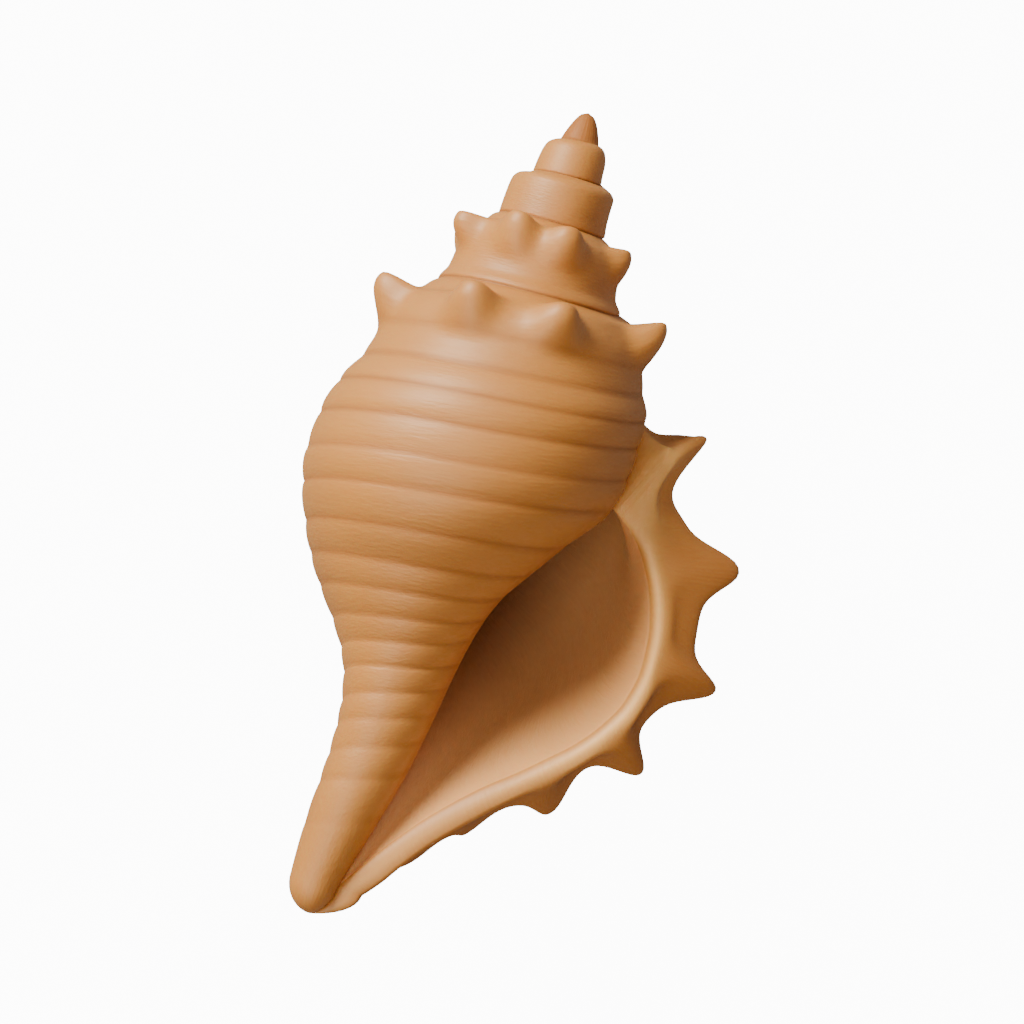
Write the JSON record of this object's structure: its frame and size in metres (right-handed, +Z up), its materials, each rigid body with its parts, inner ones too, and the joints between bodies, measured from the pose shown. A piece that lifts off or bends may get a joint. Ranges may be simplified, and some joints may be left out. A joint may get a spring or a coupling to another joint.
{
  "type": "spiny whelk shell",
  "caption": "Spiny whelk shell with knobbed whorls, spiral cords, a flared spined lip and a long canal.",
  "frame": {"origin": "on the surface that the shell lies on, under the middle of its outline seen from above", "axes": "+Y towards the apex, +X towards the lip, +Z up, out of the mouth"},
  "size_m": [0.0656, 0.1182, 0.0489],
  "materials": {
    "shell": "satin"
  },
  "bodies": {
    "root": {"shell": "shell"}
  },
  "joints": []
}
